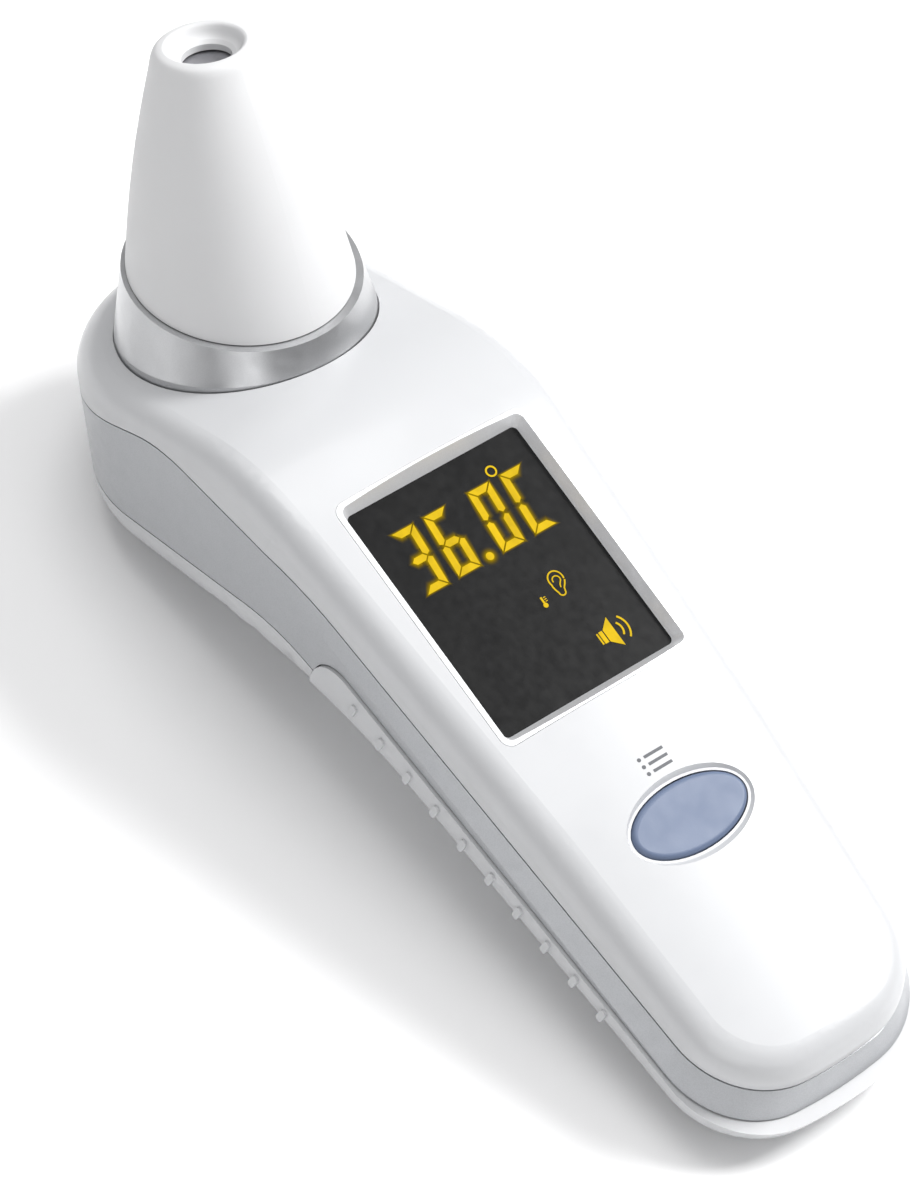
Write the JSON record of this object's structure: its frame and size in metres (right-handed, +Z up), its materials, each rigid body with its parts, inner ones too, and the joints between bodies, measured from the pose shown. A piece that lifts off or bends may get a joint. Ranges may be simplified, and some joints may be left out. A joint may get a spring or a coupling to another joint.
{
  "type": "digital ear thermometer",
  "caption": "Handheld infrared ear thermometer with a tilted probe, a removable cone cap, an amber display, an oval memory button and a sliding battery cover.",
  "frame": {"origin": "middle of the footprint, on the surface that the thermometer lies on with its display up", "axes": "+X along the handle to its tail, -X at the probe, +Z up; the object is symmetric about Y = 0"},
  "size_m": [0.1466, 0.0448, 0.067],
  "materials": {
    "white_gloss": "satin",
    "silver_paint": "satin metallic lacquer",
    "collar_metal": "satin metallic",
    "cap_plastic": "matte",
    "grey_plastic": "matte",
    "black_rubber": "matte",
    "screw_steel": "zinc plated",
    "aluminium_block": "turned",
    "gold_plate": "gold plated",
    "window_glass": "polished",
    "can_metal": "plated",
    "green_board": "solder mask",
    "ribbon_film": "satin film",
    "bezel_silver": "satin metallic",
    "smoked_lens": "polished",
    "lcd_dark": "polished",
    "diffuser": "satin",
    "led_amber": "clear",
    "chip_black": "matte",
    "capacitor_tan": "ceramic",
    "button_blue": "satin",
    "cell_wrap": "printed sleeve",
    "contact_nickel": "nickel plated"
  },
  "bodies": {
    "body": {"front_shell": "white_gloss", "side_band": "silver_paint", "rear_shell": "white_gloss", "probe_collar": "collar_metal", "probe_barrel": "grey_plastic", "probe_gasket": "black_rubber", "probe_screws": "screw_steel", "sensor_block": "aluminium_block", "waveguide": "gold_plate", "sensor_window": "window_glass", "thermopile_sensor": "can_metal", "sensor_board": "green_board", "sensor_ribbon": "ribbon_film", "display_bezel": "bezel_silver", "display_lens": "smoked_lens", "lcd_glass": "lcd_dark", "light_guide": "diffuser", "lcd_connector": "black_rubber", "lcd_frame": "grey_plastic", "main_board": "green_board", "board_screws": "screw_steel", "backlight_leds": "led_amber", "microcontroller": "chip_black", "crystal": "can_metal", "piezo_buzzer": "chip_black", "capacitors": "capacitor_tan", "resistors": "chip_black", "mem_switch": "can_metal", "key_board": "green_board", "key_screws": "screw_steel", "scan_switch": "can_metal", "scan_board": "green_board", "scan_screws": "screw_steel", "case_screws": "screw_steel", "battery_tray": "grey_plastic", "tray_screws": "screw_steel", "battery_cell_left": "cell_wrap", "battery_cell_right": "cell_wrap", "negative_spring": "contact_nickel", "positive_contact": "contact_nickel", "bridge_contact": "contact_nickel"},
    "mem_button": {"mem_button": "button_blue"},
    "scan_button": {"scan_button": "button_blue"},
    "probe_cap": {"probe_cap": "cap_plastic"},
    "battery_cover": {"battery_cover": "white_gloss"}
  },
  "joints": [
    {"name": "mem_button_press", "type": "slide", "parent": "body", "child": "mem_button", "axis": [-0.2773, 0, -0.9608], "range_m": [0, 0.0004], "stiffness_N_per_m": 1500, "springref_m": -0.0005},
    {"name": "scan_button_press", "type": "slide", "parent": "body", "child": "scan_button", "axis": [-0.2807, 0, 0.9598], "range_m": [0, 0.0005], "stiffness_N_per_m": 1500, "springref_m": -0.0005},
    {"name": "probe_cap_pull", "type": "slide", "parent": "body", "child": "probe_cap", "axis": [-0.3875, 0, 0.9219], "range_m": [0, 0.04]},
    {"name": "battery_cover_slide", "type": "slide", "parent": "body", "child": "battery_cover", "axis": [0.9785, 0, -0.2062], "range_m": [0, 0.014]}
  ]
}
